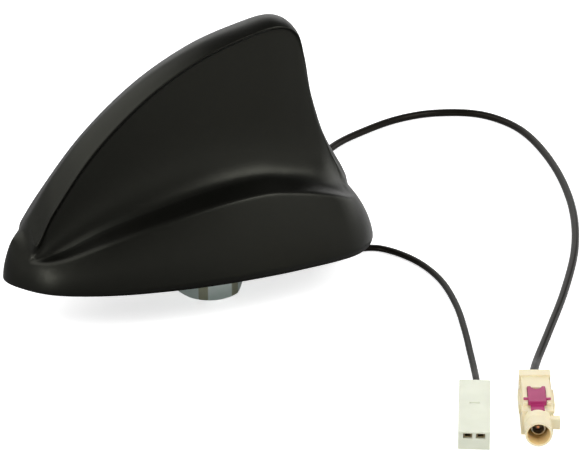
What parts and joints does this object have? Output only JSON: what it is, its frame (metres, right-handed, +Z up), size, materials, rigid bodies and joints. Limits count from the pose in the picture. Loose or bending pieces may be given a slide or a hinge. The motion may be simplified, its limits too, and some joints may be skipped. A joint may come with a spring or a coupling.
{
  "type": "shark fin aerial",
  "caption": "Black shark fin roof aerial on a threaded stud with its nut, with a coaxial lead to a cream plug and a thin lead to a white socket.",
  "frame": {"origin": "where the stud's axis meets the roof plane, which is the underside of the seal", "axes": "+X from the nose to the tail, +Y across to the far side in the picture, +Z up out of the roof"},
  "size_m": [0.2301, 0.2508, 0.1004],
  "materials": {
    "shell_black": "satin moulded ASA",
    "seal_rubber": "matt black rubber",
    "cast_plate": "as cast",
    "plated_steel": "bright zinc plated",
    "board_green": "solder resist",
    "can_tin": "tinned sheet",
    "patch_ceramic": "fired, unglazed",
    "electrode_silver": "printed silver",
    "contact_copper": "bare copper alloy",
    "bracket_plastic": "moulded",
    "lead_jacket": "extruded PVC, satin",
    "plug_cream": "satin moulded",
    "lock_magenta": "satin moulded",
    "shell_plated": "nickel plated",
    "insulator_white": "turned PTFE",
    "socket_nylon": "natural nylon, slightly clear",
    "terminal_brass": "tinned brass, worn"
  },
  "bodies": {
    "root": {"housing": "shell_black", "base_plate": "cast_plate", "base_seal": "seal_rubber", "mounting_stud": "plated_steel", "toothed_washer": "plated_steel", "hex_nut": "plated_steel", "housing_screws": "plated_steel", "circuit_board": "board_green", "board_screws": "plated_steel", "shield_can": "can_tin", "patch_antenna": "patch_ceramic", "patch_electrode": "electrode_silver", "patch_feed_pin": "contact_copper", "mast_board": "board_green", "mast_bracket": "bracket_plastic", "cable_grommet": "seal_rubber", "coax_lead": "lead_jacket", "signal_lead": "lead_jacket", "coax_plug_body": "plug_cream", "coax_plug_lock": "lock_magenta", "coax_plug_shell": "shell_plated", "coax_plug_insulator": "insulator_white", "coax_plug_pin": "contact_copper", "coax_plug_ferrule": "plated_steel", "socket_housing": "socket_nylon", "socket_terminals": "terminal_brass"}
  },
  "joints": []
}
